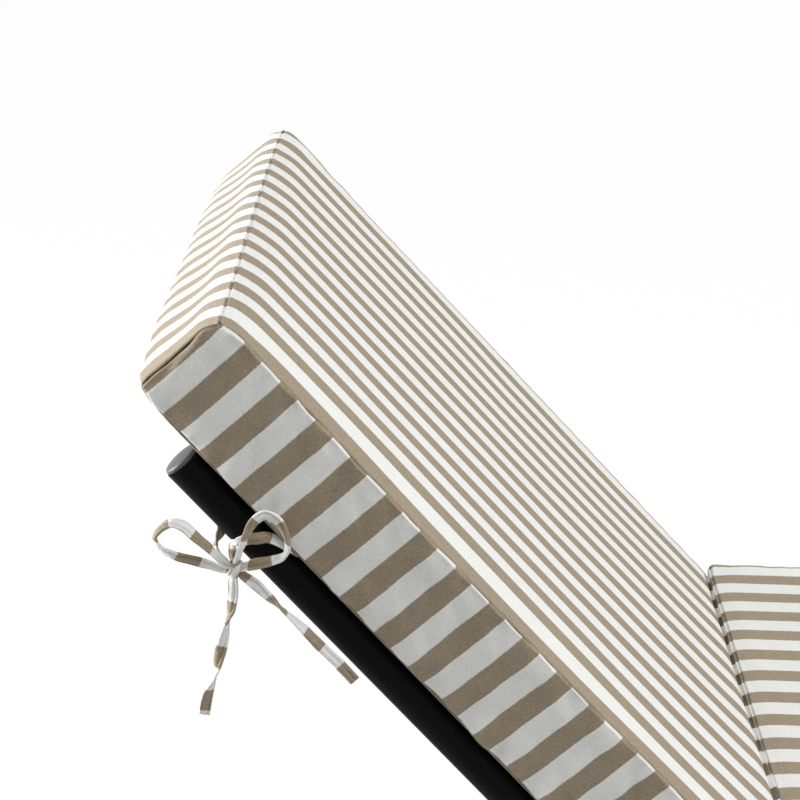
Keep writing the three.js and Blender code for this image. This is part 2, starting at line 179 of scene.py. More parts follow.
def striped_canvas(name, white, taupe, yarn_depth):
    """Woven canvas in two colours. The UV map counts stripe periods across and metres along."""
    material, tree = new_material(name)
    output = add_node(tree, "ShaderNodeOutputMaterial")
    shader = add_node(tree, "ShaderNodeBsdfPrincipled")
    shader.inputs["Roughness"].default_value = 0.93
    shader.inputs["Specular IOR Level"].default_value = 0.25
    shader.inputs["Sheen Weight"].default_value = 0.25
    shader.inputs["Sheen Roughness"].default_value = 0.5
    tree.links.new(shader.outputs[0], output.inputs["Surface"])
    uv = add_node(tree, "ShaderNodeUVMap", uv_map="cloth").outputs[0]
    place = add_node(tree, "ShaderNodeTexCoord").outputs["Object"]
    split = add_node(tree, "ShaderNodeSeparateXYZ")
    tree.links.new(uv, split.inputs[0])
    periods, along = split.outputs[0], split.outputs[1]

    wander = noise_node(tree, place, 9.0, 1.0)
    fray = noise_node(tree, place, 900.0, 0.0)
    shift = math_node(tree, "ADD", swing(tree, wander, 0.02), swing(tree, fray, 0.02))
    phase = math_node(tree, "FRACT", math_node(tree, "ADD", periods, shift))
    rise = ramp_node(tree, phase, 0.0, 2 * STRIPE_EDGE)
    fall = ramp_node(tree, phase, TAUPE_SHARE - STRIPE_EDGE, TAUPE_SHARE + STRIPE_EDGE, 1.0, 0.0)
    wrap = ramp_node(tree, phase, 1.0 - STRIPE_EDGE, 1.0)
    taupe_share = math_node(tree, "MAXIMUM", math_node(tree, "MULTIPLY", rise, fall), wrap)

    across = math_node(tree, "MULTIPLY", periods, STRIPE_PITCH)
    turn = 2 * math.pi / YARN_PITCH
    warp = math_node(tree, "SINE", math_node(tree, "MULTIPLY", across, turn))
    weft = math_node(tree, "SINE", math_node(tree, "MULTIPLY", along, turn))
    weave = math_node(tree, "MULTIPLY", warp, weft)
    slub = noise_node(tree, place, 560.0, 2.0, 0.6)
    patch = noise_node(tree, place, 14.0, 2.0)
    cloud = noise_node(tree, place, 75.0, 2.0, 0.6)

    color = mix_colors(tree, taupe_share, white, taupe)
    grain = math_node(tree, "ADD", math_node(tree, "MULTIPLY", weave, 0.05), swing(tree, slub, 0.85))
    grain = math_node(tree, "ADD", grain, swing(tree, patch, 0.10))
    grain = math_node(tree, "ADD", grain, swing(tree, cloud, 0.13))
    contrast = math_node(tree, "ADD", math_node(tree, "MULTIPLY", taupe_share, 0.65), 0.35)
    level = math_node(tree, "ADD", math_node(tree, "MULTIPLY", grain, contrast), 1.0)
    gray = add_node(tree, "ShaderNodeCombineColor")
    for channel in range(3):
        tree.links.new(level, gray.inputs[channel])
    color = mix_colors(tree, 1.0, color, gray.outputs[0], "MULTIPLY")
    # Seam lines: painted shade of the seam grooves, broken into dashes like stitching and stronger on taupe;
    # the line attribute sets how dark each seam is
    gap = add_node(tree, "ShaderNodeAttribute", attribute_name="seam").outputs["Fac"]
    dash = ramp_node(tree, noise_node(tree, place, 190.0, 1.0), 0.35, 0.6)
    strong = add_node(tree, "ShaderNodeAttribute", attribute_name="line").outputs["Fac"]
    dashes = math_node(tree, "ADD", math_node(tree, "MULTIPLY", dash, 0.9), 0.1)
    on_taupe = math_node(tree, "ADD", math_node(tree, "MULTIPLY", taupe_share, 0.8), 0.2)
    line = math_node(tree, "MULTIPLY", math_node(tree, "MULTIPLY", dashes, on_taupe), strong)
    whole = math_node(tree, "MULTIPLY", math_node(tree, "SUBTRACT", strong, 0.6), 2.2, clamp=True)
    line = math_node(tree, "MAXIMUM", line, whole)
    line = math_node(tree, "MULTIPLY", line, ramp_node(tree, gap, 0.0006, 0.0020, 1.0, 0.0))
    color = mix_colors(tree, line, color, SEAM_SHADE)
    tree.links.new(color, shader.inputs["Base Color"])

    height = math_node(tree, "ADD", math_node(tree, "MULTIPLY", weave, 0.5), slub)
    bump = add_node(tree, "ShaderNodeBump", inputs={"Strength": 0.6, "Distance": yarn_depth})
    tree.links.new(height, bump.inputs["Height"])
    folds = add_node(tree, "ShaderNodeBump", inputs={"Strength": 0.55, "Distance": 0.0012})
    tree.links.new(cloud, folds.inputs["Height"])
    tree.links.new(bump.outputs[0], folds.inputs["Normal"])
    tree.links.new(folds.outputs[0], shader.inputs["Normal"])
    return material


def hard_finish(name, color, roughness, grain_scale, grain_depth, shine=0.5):
    """Painted metal, moulded plastic or rubber with a fine grain and slightly uneven gloss."""
    material, tree = new_material(name)
    output = add_node(tree, "ShaderNodeOutputMaterial")
    shader = add_node(tree, "ShaderNodeBsdfPrincipled")
    shader.inputs["Specular IOR Level"].default_value = shine
    tree.links.new(shader.outputs[0], output.inputs["Surface"])
    place = add_node(tree, "ShaderNodeTexCoord").outputs["Object"]
    fine = noise_node(tree, place, grain_scale, 2.0)
    broad = noise_node(tree, place, 18.0, 3.0)
    darker = tuple(0.7 * c for c in color[:3]) + (1,)
    uneven = mix_colors(tree, ramp_node(tree, broad, 0.3, 0.75), darker, color)
    tree.links.new(uneven, shader.inputs["Base Color"])
    gloss = ramp_node(tree, fine, 0.2, 0.8, roughness - 0.06, roughness + 0.08)
    tree.links.new(gloss, shader.inputs["Roughness"])
    bump = add_node(tree, "ShaderNodeBump", inputs={"Strength": 0.5, "Distance": grain_depth})
    tree.links.new(fine, bump.inputs["Height"])
    tree.links.new(bump.outputs[0], shader.inputs["Normal"])
    return material


canvas = striped_canvas("striped_canvas", WHITE_YARN, TAUPE_YARN, 0.0004)
shaded_fold_canvas = striped_canvas("shaded_fold_canvas", FOLD_SHADE_WHITE, FOLD_SHADE_TAUPE, 0.0004)
tie_canvas = striped_canvas("tie_canvas", WHITE_YARN, TAUPE_YARN, 0.0003)
black_paint = hard_finish("black_powder_coat", (0.0022, 0.0022, 0.0024, 1), 0.48, 2600.0, 0.00004, 0.09)
grey_plastic = hard_finish("grey_moulded_plastic", (0.11, 0.115, 0.12, 1), 0.45, 1500.0, 0.00005)
black_plastic = hard_finish("black_moulded_plastic", (0.014, 0.014, 0.015, 1), 0.5, 1400.0, 0.0001)
black_rubber = hard_finish("black_rubber", (0.022, 0.022, 0.022, 1), 0.75, 900.0, 0.00015)


# Mesh helpers

def mesh_object(name, points, faces, material, uv_rows=None, seam=None):
    """A mesh piece from points and faces. uv_rows holds one pair for each corner of each face."""
    mesh = bpy.data.meshes.new(name)
    mesh.from_pydata([tuple(p) for p in points], [], faces)
    if uv_rows:
        layer = mesh.uv_layers.new(name="cloth")
        flat = [value for row in uv_rows for pair in row for value in pair]
        layer.data.foreach_set("uv", flat)
    if seam:
        mesh.attributes.new("seam", "FLOAT", "POINT").data.foreach_set("value", seam)
    mesh.materials.append(material)
    mesh.shade_smooth()
    piece = bpy.data.objects.new(name, mesh)
    bpy.context.scene.collection.objects.link(piece)
    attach(piece, "root")
    return piece


def select_only(piece):
    bpy.ops.object.select_all(action="DESELECT")
    piece.select_set(True)
    bpy.context.view_layer.objects.active = piece


def smooth_curve(points, spacing):
    """Points about spacing apart on a smooth curve through the given points."""
    padded = [2 * points[0] - points[1], *points, 2 * points[-1] - points[-2]]
    dense = []
    for i in range(1, len(padded) - 2):
        p0, p1, p2, p3 = padded[i - 1:i + 3]
        t0 = 0.0
        t1 = t0 + max((p1 - p0).length, 1e-6) ** 0.5
        t2 = t1 + max((p2 - p1).length, 1e-6) ** 0.5
        t3 = t2 + max((p3 - p2).length, 1e-6) ** 0.5
        for step in range(24):
            t = t1 + (t2 - t1) * step / 24
            a1 = p0 * ((t1 - t) / (t1 - t0)) + p1 * ((t - t0) / (t1 - t0))
            a2 = p1 * ((t2 - t) / (t2 - t1)) + p2 * ((t - t1) / (t2 - t1))
            a3 = p2 * ((t3 - t) / (t3 - t2)) + p3 * ((t - t2) / (t3 - t2))
            b1 = a1 * ((t2 - t) / (t2 - t0)) + a2 * ((t - t0) / (t2 - t0))
            b2 = a2 * ((t3 - t) / (t3 - t1)) + a3 * ((t - t1) / (t3 - t1))
            dense.append(b1 * ((t2 - t) / (t2 - t1)) + b2 * ((t - t1) / (t2 - t1)))
    dense.append(points[-1].copy())
    reach = [0.0]
    for a, b in zip(dense, dense[1:]):
        reach.append(reach[-1] + (b - a).length)
    count = max(2, round(reach[-1] / spacing))
    even, j = [], 0
    for i in range(count + 1):
        goal = reach[-1] * i / count
        while j < len(reach) - 2 and reach[j + 1] < goal:
            j += 1
        share = (goal - reach[j]) / max(reach[j + 1] - reach[j], 1e-9)
        even.append(dense[j].lerp(dense[j + 1], min(1.0, share)))
    return even, reach[-1]


# Cushion sections

CUSHION_HALF_WIDTH = 0.3055
NEAR_EDGE = (0.007, 0.0045)
FAR_EDGE = (0.004, 0.003)
LOWER_EDGE = (0.008, 0.008)
UPRIGHT_EDGE = 0.006
HEAD_EDGE = (0.028, 0.026)
BACK_FOLD_EDGE = (0.009, 0.008)
SEAT_FOLD_EDGE = (0.007, 0.007)
SIDE_BULGE = 0.0012
SIDE_PULL_IN = 0.0014
FILLING_RISE = 0.0012
CLOTH_FROM_SEAM = (0.0, 0.0013, 0.0028, 0.0050, 0.0082, 0.0125)
GRID_STEP = 0.0105


def arc_length(first, second, reach):
    """Cloth from where the flat ends to reach (1 is the seam) round an edge with these two radii."""
    total, steps = 0.0, 12
    angle = math.atan(reach)
    for i in range(steps):
        a = angle * (i + 0.5) / steps
        total += math.hypot(first * math.cos(a), second * math.sin(a)) * angle / steps
    return total


def axis_lines(half, low_round, high_round, other, step=GRID_STEP):
    """Grid lines from -half to half, close together beside the seams, with the share of rounding at each."""
    lines = []
    for radius in (low_round, high_round):
        whole = arc_length(radius, other, 1.0)
        shares = [1.0 - d / whole for d in CLOTH_FROM_SEAM if d < whole * 0.93] + [0.0]
        lines.append([(half - radius * (1.0 - share), share) for share in shares])
    flat = (half - high_round) + (half - low_round)
    count = max(2, round(flat / step))
    middle = [(-(half - low_round) + flat * i / count, 0.0) for i in range(1, count)]
    return [(-p, -s) for p, s in lines[0]] + middle + [(p, s) for p, s in reversed(lines[1])]


def cloth_along(lines, low_round, high_round, other):
    """Cloth distance of each grid line from the middle of the flat, following the rounded ends."""
    places = []
    for place, share in lines:
        if share < 0:
            places.append(place - share * low_round - arc_length(low_round, other, -share))
        elif share > 0:
            places.append((place - high_round * share) + arc_length(high_round, other, share))
        else:
            places.append(place)
    return places


def rounded(first, second, half_first, half_second, radii):
    """How far an edge's rounding pulls a point of the square section in, along both of its directions."""
    places, halves = (first, second), (half_first, half_second)
    shares = [max(0.0, (abs(p) - (h - r)) / r) for p, h, r in zip(places, halves, radii)]
    if min(shares) <= 0:
        return 0.0, 0.0
    most = max(shares) / math.hypot(*shares)
    return tuple(r * share * (1 - most) for r, share in zip(radii, shares))


def cushion_shape(length, thickness_at, start_edge, end_edge, bend, lean):
    """Grid of one boxed section: x from 0 to length, top face at z = 0, seams along its twelve edges."""
    half = (length / 2, CUSHION_HALF_WIDTH, SEAT_THICKNESS / 2)
    xs = axis_lines(half[0], start_edge[0], end_edge[0], start_edge[1])
    ys = axis_lines(half[1], NEAR_EDGE[0], FAR_EDGE[0], NEAR_EDGE[1])
    zs = axis_lines(half[2], NEAR_EDGE[1], NEAR_EDGE[1], NEAR_EDGE[0], 0.0068)

    def placed(i, j, k):
        p = (xs[i][0], ys[j][0], zs[k][0])
        end_edges = LOWER_EDGE if p[2] < 0 else start_edge if p[0] < 0 else end_edge
        side_edges = LOWER_EDGE if p[2] < 0 else NEAR_EDGE if p[1] < 0 else FAR_EDGE
        end_pull = rounded(p[0], p[2], half[0], half[2], end_edges)
        side_pull = rounded(p[1], p[2], half[1], half[2], side_edges)
        corner_pull = rounded(p[0], p[1], half[0], half[1], (UPRIGHT_EDGE, UPRIGHT_EDGE))
        end_share = min(1.0, 4 * end_pull[0] / start_edge[0])
        corner = 1 - 0.45 * end_share * min(1.0, 4 * side_pull[0] / NEAR_EDGE[0])
        pulls = (
            math.hypot(end_pull[0], corner_pull[0]) * corner,
            math.hypot(side_pull[0], corner_pull[1]) * corner,
            math.hypot(end_pull[1], side_pull[1]) * corner,
        )
        q = [value - math.copysign(pull, value) for value, pull in zip(p, pulls)]
        along_share = max(0.0, 1 - (q[0] / half[0]) ** 2)
        depth_share = 1 - (q[2] / half[2]) ** 2
        side = min(1.0, max(0.0, (abs(q[1]) - half[1] * 0.5) / (half[1] * 0.5)))
        side = side * side * (3 - 2 * side)
        q[1] += math.copysign(side * (SIDE_BULGE * depth_share - SIDE_PULL_IN * along_share), q[1])
        x = q[0] + half[0]
        height = (q[2] / half[2] - 1) * thickness_at(x) * 0.5
        top = max(0.0, q[2] / half[2])
        inside = ease(min(half[0] - abs(p[0]), half[1] - abs(p[1])), 0.0, 0.03)
        height += (bend(x, q[1]) - 0.9 * FILLING_RISE * inside) * top
        aside, lift = lean(x, q[1], height)
        return Vector((x + aside, q[1], height + lift))

    top_x = cloth_along(xs, start_edge[0], end_edge[0], start_edge[1])
    side_x = [place for place, share in xs]
    top_y = cloth_along(ys, NEAR_EDGE[0], FAR_EDGE[0], NEAR_EDGE[1])
    side_z = cloth_along(zs, NEAR_EDGE[1], NEAR_EDGE[1], NEAR_EDGE[0])
    nx, ny, nz = len(xs) - 1, len(ys) - 1, len(zs) - 1
    points, index, seams, lines = [], {}, [], []

    def inside(places, n):
        return min(places[n] - places[0], places[-1] - places[n])

    # How dark the painted seam shade is at each point, and how deep its groove: darkest at the upright
    # corners, faint along the top's long edges
    def line_strength(i, j, k):
        at_end, at_side = min(i, nx - i) <= 2, min(j, ny - j) <= 2
        if at_end and at_side:
            return 1.0
        if k >= nz - 2:
            return 0.5 if at_end else 0.08 if at_side else 0.0
        return 0.5 if k <= 2 else 1.0 if at_end or at_side else 0.0

    def vertex(i, j, k, seam):
        key = (i, j, k)
        if key not in index:
            index[key] = len(points)
            points.append(placed(i, j, k))
            seams.append(seam)
            lines.append(line_strength(i, j, k))
        n = index[key]
        seams[n] = min(seams[n], seam)
        return n

    faces, panels, corners = [], [], []

    def panel(name, first, second, seam_at, key_at, turned):
        for a in range(first):
            for b in range(second):
                ring = [(a, b), (a + 1, b), (a + 1, b + 1), (a, b + 1)]
                if turned:
                    ring.reverse()
                faces.append([vertex(*key_at(*c), seam_at(*c)) for c in ring])
                corners.append([key_at(*c) for c in ring])
                panels.append(name)

    flat = lambda a, b: min(inside(top_x, a), inside(top_y, b))
    side = lambda a, b: min(inside(side_x, a), inside(side_z, b))
    end = lambda a, b: min(inside(top_y, a), inside(side_z, b))
    panel("top", nx, ny, flat, lambda a, b: (a, b, nz), False)
    panel("bottom", nx, ny, flat, lambda a, b: (a, b, 0), True)
    panel("near", nx, nz, side, lambda a, b: (a, 0, b), False)
    panel("far", nx, nz, side, lambda a, b: (a, ny, b), True)
    panel("start", ny, nz, end, lambda a, b: (0, a, b), True)
    panel("end", ny, nz, end, lambda a, b: (nx, a, b), False)
    cloth = {"top_x": top_x, "top_y": top_y, "side_z": side_z}
    return points, faces, panels, corners, seams, lines, cloth


def ease(value, low, high):
    share = min(1.0, max(0.0, (value - low) / (high - low)))
    return share * share * (3 - 2 * share)


def cloth_map(points, faces, panels, corners, cloth, stripes, side_stripes, side_slack):
    """UV rows: stripes run along the section on top and over both ends, and up the boxing at the sides.
    The last stripe at each long edge is cut wide, and side_slack crowds the boxing's first stripes."""
    start, pitch = stripes
    side_start, side_pitch = side_stripes
    rows = []
    for name, face, ring in zip(panels, faces, corners):
        row = []
        for v, (i, j, k) in zip(face, ring):
            y = cloth["top_y"][j]
            y += 0.0072 * ease(-y, 0.284, 0.303) + 0.0025 * ease(y, 0.2955, 0.301)
            if name in ("near", "far"):
                x = points[v].x
                row.append(((x - side_slack(x) - side_start) / side_pitch, points[v].z))
            elif name in ("start", "end"):
                row.append(((start - y) / pitch, cloth["side_z"][k]))
            else:
                row.append(((start - y) / pitch, cloth["top_x"][i]))
        rows.append(row)
    return rows


def inflate(piece, pinned, pressure, rise, belly):
    """Fills the sewn cover: cloth under pressure, held at its seams, with a limit to how far it moves."""
    group = piece.vertex_groups.new(name="sewn")
    group.add(pinned, 1.0, "REPLACE")
    before = [v.co.copy() for v in piece.data.vertices]
    normals = [n.vector.copy() for n in piece.data.vertex_normals]
    cloth = piece.modifiers.new("filling", "CLOTH")
    settings = cloth.settings
    settings.quality = 4
    settings.mass = 0.3
    settings.tension_stiffness = 20
    settings.compression_stiffness = 20
    settings.shear_stiffness = 8
    settings.bending_stiffness = 1.2
    settings.vertex_group_mass = "sewn"
    settings.use_pressure = True
    settings.uniform_pressure_force = pressure
    settings.effector_weights.gravity = 0
    settings.shrink_min = -0.005
    cloth.point_cache.frame_start = 1
    cloth.point_cache.frame_end = 20
    scene = bpy.context.scene
    for step in range(1, 21):
        scene.frame_set(step)
    filled = piece.evaluated_get(bpy.context.evaluated_depsgraph_get())
    after = [v.co.copy() for v in filled.data.vertices]
    piece.modifiers.remove(cloth)
    piece.vertex_groups.clear()
    scene.frame_set(1)
    for vertex, old, new, normal in zip(piece.data.vertices, before, after, normals):
        move = new - old
        outward = normal * move.dot(normal)
        move = outward + 0.3 * (move - outward)
        most = rise if normal.z > 0.8 else belly
        far = move.length
        if far > 1e-7:
            move *= most * math.tanh(far / most) / far
        vertex.co = old + move


def sewn_detail(piece, length):
    """Seam grooves, the small gathers beside them, and the soft unevenness of the filling."""
    mesh = piece.data
    mesh.update()
    seam = [v.value for v in mesh.attributes["seam"].data]
    line = [v.value for v in mesh.attributes["line"].data]
    normals = [n.vector.copy() for n in mesh.vertex_normals]
    half = CUSHION_HALF_WIDTH
    for vertex, d, strong, normal in zip(mesh.vertices, seam, line, normals):
        x, y, z = vertex.co
        from_end = min(x, length - x)
        from_side = half - abs(y)
        on_side = abs(normal.y) > 0.6
        along = y if from_end < from_side else x
        other = 7.3 if y > 0 else 2.1
        gather = noise.noise(Vector((along * 75 + z * 25, z * 16, other)))
        fine = noise.noise(Vector((along * 170, z * 30, other + 5)))
        broad = noise.noise(Vector((x * 11, y * 11, z * 11)))
        groove = -(0.0006 + 0.0008 * strong) * math.exp(-((d / 0.0013) ** 2))
        roll = 0.0005 * math.exp(-(((d - 0.0024) / 0.0014) ** 2))
        reach = math.exp(-((d / 0.020) ** 2)) * (1 - math.exp(-((d / 0.003) ** 2)))
        strength = (0.0034 if z > -0.045 else 0.0042) if on_side else 0.0002
        soft = 0.0
        if on_side:
            soft = 0.0024 * noise.noise(Vector((x * 24, other, z * 34)))
            soft += 0.0018 * noise.noise(Vector((x * 55 + z * 40, other, z * 50)))
        push = groove + roll + strength * reach * (gather + 0.5 * fine) + 0.0003 * broad
        push += soft * (1 - 0.6 * reach)
        if normal.z < -0.8:
            push = groove
        vertex.co += normal * push


def cushion_section(
    name, node, length, thickness_at, edges, bend, lean, stripes, side_stripes, slack, placement, fold_panel,
):
    """One boxed section of the cushion: shaped, filled, sewn, and set in its place."""
    shape = cushion_shape(length, thickness_at, *edges, bend, lean)
    points, faces, panels, corners, seams, lines, cloth = shape
    uv_rows = cloth_map(points, faces, panels, corners, cloth, stripes, side_stripes, slack)
    piece = mesh_object(name, points, faces, canvas, uv_rows, seams)
    piece.data.attributes.new("line", "FLOAT", "POINT").data.foreach_set("value", lines)
    held = {n for n, d in enumerate(seams) if d < 1e-6}
    for face, panel in zip(faces, panels):
        if panel in ("bottom", fold_panel):
            held.update(face)
    inflate(piece, sorted(held), 4.0, FILLING_RISE, 0.0010)
    select_only(piece)
    smooth = piece.modifiers.new("finer", "SUBSURF")
    smooth.levels = smooth.render_levels = 1
    smooth.uv_smooth = "NONE"
    bpy.ops.object.modifier_apply(modifier=smooth.name)
    sewn_detail(piece, length)
    piece.data.transform(placement)
    piece.data.shade_smooth()
    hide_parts(node)
    return piece


# Unevenness of the raised section's top in millimetres, at these distances up the slope and across
BEND_UP = (-0.016, -0.004, 0.040, 0.160, 0.300, 0.440, 0.580, 0.670, 0.690)
BEND_ACROSS = (-0.305, -0.278, -0.257, -0.157, -0.057, 0.043, 0.143, 0.243, 0.288, 0.305)
BEND_HEIGHTS = (
    (-2.0, -1.5, 0.5, 2.2, 2.8, 2.8, 3.0, 2.6, 2.8, 3.2),
    (-2.0, -1.5, 0.5, 2.4, 3.0, 3.0, 3.2, 2.8, 3.0, 3.4),
    (-3.0, -2.6, -0.8, 0.9, 1.7, 1.8, 2.5, 2.2, 2.6, 3.4),
    (-4.4, -4.8, -2.7, -1.0, 0.1, 0.4, 0.2, 0.1, 0.8, 2.8),
    (-4.5, -6.0, -1.6, -0.7, -0.7, -0.9, -1.2, -0.9, 0.2, 2.2),
    (-3.6, -3.8, 0.3, 0.1, -0.3, -0.6, -0.5, 0.0, 0.6, 1.6),
    (-1.0, -0.4, 2.2, 1.7, 0.1, -0.8, -1.1, -0.6, 0.2, 1.2),
    (2.0, 0.4, 2.0, 1.5, -0.7, -2.0, -2.5, -1.0, 0.6, 2.6),
    (4.0, 1.6, 2.0, 1.5, -0.7, -2.0, -2.5, -1.0, 1.4, 4.6),
)


def on_curve(places, values, at):
    """A value on a smooth curve through values at the given places, level beyond both ends."""
    last = len(places) - 1
    i = max(n for n in range(last) if n == 0 or places[n] <= at)
    step = places[i + 1] - places[i]
    t = min(1.0, max(0.0, (at - places[i]) / step))
    slopes = []
    for n in (i, i + 1):
        low, high = max(0, n - 1), min(last, n + 1)
        slopes.append((values[high] - values[low]) / (places[high] - places[low]) * step)
    a, b = values[i], values[i + 1]
    cubic = 2 * (a - b) + slopes[0] + slopes[1]
    return a + t * (slopes[0] + t * (3 * (b - a) - 2 * slopes[0] - slopes[1] + t * cubic))


def back_bend(x, y):
    rows = [on_curve(BEND_ACROSS, row, y) for row in BEND_HEIGHTS]
    return on_curve(BEND_UP, rows, BACK_TOP_UP - x) / 1000


def seat_bend(x, y):
    """The seat's top dips towards the fold and lies slightly twisted there."""
    share = max(0.0, 1 - x / 0.034)
    fade = 1 - ease(x, 0.15, 0.55)
    twist = min(0.0075, max(-0.006, 0.020 * y)) * fade
    return -0.0008 * share * share + twist + 0.0016 * ease(y, 0.288, 0.305)


def back_lean(x, y, height):
    """The head panel is slightly hollow below the ridge and bows out at its foot, its corners drawn up."""
    depth = ease(-height, 0.035, 0.085)
    bow = 0.0066 * max(0.0, 1 - (y / CUSHION_HALF_WIDTH) ** 4) * max(0.0, 1 - x / 0.07)
    hollow = 0.0018 * ease(-height, 0.010, 0.032) * max(0.0, 1 - x / 0.05)
    corner = math.exp(-(x / 0.020) ** 2 - ((CUSHION_HALF_WIDTH - abs(y)) / 0.020) ** 2)
    return hollow - bow * depth, 0.0036 * depth * corner


def seat_lean(x, y, height):
    """The top of the seat's end leans into the fold."""
    return -0.0016 * ease(height, -0.013, -0.002) * (1 - ease(x, 0.0, 0.05)), 0.0


def back_side_slack(x):
    return 0.004 * max(0.0, 1 - x / 0.15)


# Where each section's stripes start and how often they repeat: across its top, then along its sides
BACK_STRIPES = (0.28206, STRIPE_PITCH)
BACK_SIDE_STRIPES = (BACK_TOP_UP - 0.6609, STRIPE_PITCH)
SEAT_STRIPES = (0.28276, 0.0408)
SEAT_SIDE_STRIPES = (0.004, STRIPE_PITCH)

back_placement = Matrix((
    (-UP_BACK.x, 0, OUT_OF_BACK.x, FOLD.x + UP_BACK.x * BACK_TOP_UP),
    (0, 1, 0, 0),
    (-UP_BACK.z, 0, OUT_OF_BACK.z, FOLD.z + UP_BACK.z * BACK_TOP_UP),
    (0, 0, 0, 1),
))
back_cushion = cushion_section(
    "cushion_back_filled", "cushion_back", BACK_LENGTH, lambda x: back_thickness(BACK_TOP_UP - x),
    (HEAD_EDGE, BACK_FOLD_EDGE), back_bend, back_lean,
    BACK_STRIPES, BACK_SIDE_STRIPES, back_side_slack, back_placement, "end",
)
seat_cushion = cushion_section(
    "cushion_seat_filled", "cushion_seat", SEAT_LENGTH, lambda x: SEAT_THICKNESS,
    (SEAT_FOLD_EDGE, HEAD_EDGE), seat_bend, seat_lean,
    SEAT_STRIPES, SEAT_SIDE_STRIPES, lambda x: 0.0,
    Matrix.Translation(FOLD + Vector((SEAT_START, 0, 0))), "start",
)


# Hinge strip

STRIP_HALF_WIDTH = 0.298
STRIP_THICKNESS = 0.0009
STRIP_STRIPES = (0.2824, 0.0404)
STRIP_LINE = (
    (0.0046, -0.0090), (0.0066, -0.0079), (0.0086, -0.0068),
    (0.0102, -0.0058), (0.0121, -0.0047), (0.0140, -0.0036),
)


def hinge_strip():
    """The narrow band in the fold, a little creased between its two seams, in canvas darkened as painted
    shade of the fold.
    """
    stations = 180
    points, faces, uv_rows, places = [], [], [], []
    reach = [0.0]
    for (ax, az), (bx, bz) in zip(STRIP_LINE, STRIP_LINE[1:]):
        reach.append(reach[-1] + math.hypot(bx - ax, bz - az))
    for i in range(stations + 1):
        y = -STRIP_HALF_WIDTH + 2 * STRIP_HALF_WIDTH * i / stations
        for n, (x, z) in enumerate(STRIP_LINE):
            free = math.sin(math.pi * n / (len(STRIP_LINE) - 1))
            crease = noise.noise(Vector((y * 60, n * 0.35, 1.7)))
            crease += 0.6 * noise.noise(Vector((y * 160, n * 0.5, 4.2)))
            lift = 0.012 * y if y < 0 else 0.010 * y
            height = z + 0.0009 * crease * free + lift * 0.6
            points.append(FOLD + Vector((x + 0.0004 * crease * free, y, height)))
            places.append(((STRIP_STRIPES[0] - y) / STRIP_STRIPES[1], reach[n]))
    width = len(STRIP_LINE)
    for i in range(stations):
        for n in range(width - 1):
            ring = [i * width + n, i * width + n + 1, (i + 1) * width + n + 1, (i + 1) * width + n]
            faces.append(ring)
            uv_rows.append([places[v] for v in ring])
    seams = [0.01] * len(points)
    # The strip uses the darkened canvas: painted shade of the fold
    piece = mesh_object("hinge_strip_cloth", points, faces, shaded_fold_canvas, uv_rows, seams)
    select_only(piece)
    thick = piece.modifiers.new("cloth_thickness", "SOLIDIFY")
    thick.thickness = STRIP_THICKNESS
    thick.offset = -1
    bpy.ops.object.modifier_apply(modifier=thick.name)
    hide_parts("hinge_strip")
    return piece


hinge_strip()


# Ties: two bands of cover cloth on each side, round the tube and into one bow

TIE_WIDTH = 0.0088
TIE_THICKNESS = 0.0028
WRAP_RADIUS = TUBE_RADIUS + 0.0030
KNOT_UP = 0.532
TO_VIEWER = -CAMERA_FORWARD
knot_near = tube_axis(KNOT_UP, -SIDE_TUBE_Y - 0.018) - OUT_OF_BACK * 0.0245

# Routes in millimetres from the middle of the knot, each with the turn of the band's face
# from the viewer, in degrees
LEFT_LOOP = (
    (-6.8, -4.2, 6.5, 60), (-17.1, -6, 18.2, 58), (-28.4, -7, 29, 35), (-37.5, -8, 38.1, 20),
    (-45.8, -9, 40.7, 35), (-53.4, -9, 36.3, 60), (-58.6, -9, 28.7, 75), (-55.7, -9, 20.9, 60),
    (-44.8, -8, 13.6, 40), (-32.2, -6, 9, 30), (-19.7, -4, 4.8, 35), (-9.8, -3, 0.7, 50),
)
RIGHT_LOOP = (
    (2.2, -5.8, 8.3, 74), (6.3, -12.5, 22.9, 72), (11.7, -13, 37.6, 58), (16.8, -13, 46.6, 34),
    (24.2, -12, 51.2, 20), (32.8, -11, 46.9, 28), (38.6, -10, 37.1, 46), (41.2, -10, 26.2, 58),
    (38.4, -10, 16.6, 66), (28.5, -10, 12.2, 34), (16.1, -8, 8.0, 24), (8.4, -4.4, 4, 40),
)
LEFT_TAIL = (
    (-0.9, -1, -10, 20), (-0.8, -1.5, -20.2, 10), (-2.3, -2, -33.5, 35), (-5.8, -2, -46.9, 100),
    (-9, -2, -63.4, 165), (-12.4, -2, -77.9, 200), (-15.6, -2, -94.3, 265), (-20.9, -2, -110, 330),
    (-24, -2, -127.5, 350),
)
RIGHT_TAIL = (
    (8.3, -3, -5.1, 30), (17.5, -4, -12.1, 5), (27.6, -4, -22.1, 40), (39, -4, -33.9, 95),
    (53.7, -4, -48.3, 130), (67.4, -4, -63.5, 170), (80.3, -4, -76.8, 185), (93.6, -4, -92, 190),
)
FRONT_TURNS = ((-26, 68), (-16, 58), (-6, 47), (2, 35), (6, 20), (10, 6), (13, -12), (13, -30))
FRONT_JOIN = ((-0.7, 6.5, 17), (-1.1, 6.9, 7.9))
BACK_TURNS = ((44, 152), (43, 172), (40, 192), (36, 214), (30, 236), (24, 256))
BACK_JOIN = ((-16.1, 14.5, 9.3), (-7.4, 7.3, 0.7))
FRONT_START, BACK_START, KNOT_START = 0.35, 0.1, 0.05

